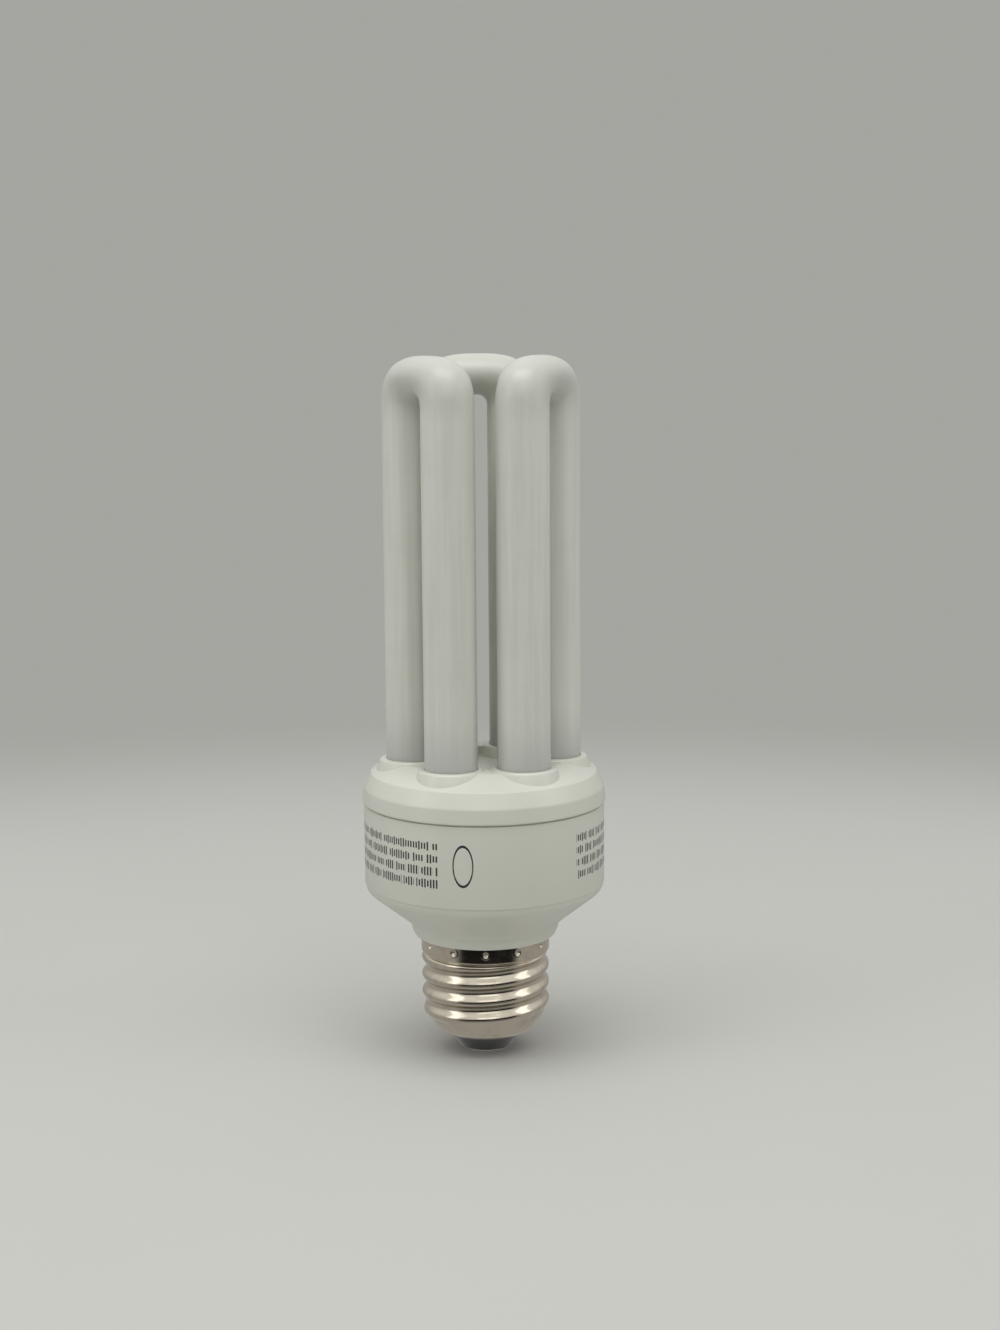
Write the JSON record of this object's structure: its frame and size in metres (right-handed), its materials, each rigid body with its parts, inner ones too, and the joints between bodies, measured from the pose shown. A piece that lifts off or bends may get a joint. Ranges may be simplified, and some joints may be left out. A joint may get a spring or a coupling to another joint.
{
  "type": "compact fluorescent lamp",
  "caption": "Compact fluorescent lamp: U-bent white tubes standing in a two-piece plastic ballast housing, with a nickel-plated screw cap and a black glass insulator.",
  "frame": {"origin": "centre of the contact face at the end of the screw cap, the lamp's lowest point", "axes": "+Z along the lamp's axis from the cap towards the tubes, +X through the middle of one leg of the tubes"},
  "size_m": [0.0494, 0.0494, 0.1421],
  "materials": {
    "phosphor_glass": "satin",
    "white_housing": "satin",
    "nickel": "polished",
    "black_glass": "gloss",
    "contact_tin": "satin",
    "solder": "satin",
    "cement": "matt",
    "board": "matt",
    "capacitor_sleeve": "gloss",
    "ferrite": "matt",
    "bobbin": "matt",
    "copper_winding": "gloss",
    "film_capacitor": "gloss",
    "epoxy_black": "matt",
    "diode": "satin",
    "resistor": "satin",
    "fuse": "satin",
    "wire_tin": "satin",
    "wire_insulation": "satin"
  },
  "bodies": {
    "root": {"arc_tube": "phosphor_glass", "tube_cover": "white_housing", "ballast_housing": "white_housing", "screw_shell": "nickel", "cap_insulator": "black_glass", "centre_contact": "contact_tin", "contact_solder": "solder", "tube_cement": "cement", "circuit_board": "board", "electrolytic_capacitor": "capacitor_sleeve", "choke_core": "ferrite", "choke_bobbin": "bobbin", "choke_winding": "copper_winding", "drive_toroid": "ferrite", "toroid_coils": "copper_winding", "starting_capacitor": "film_capacitor", "filter_capacitor": "film_capacitor", "power_transistors": "epoxy_black", "rectifier_diodes": "diode", "resistors": "resistor", "fuse_resistor": "fuse", "centre_lead": "wire_tin", "shell_lead": "wire_insulation", "wrap_pins": "wire_tin", "filament_leads": "wire_tin"}
  },
  "joints": []
}
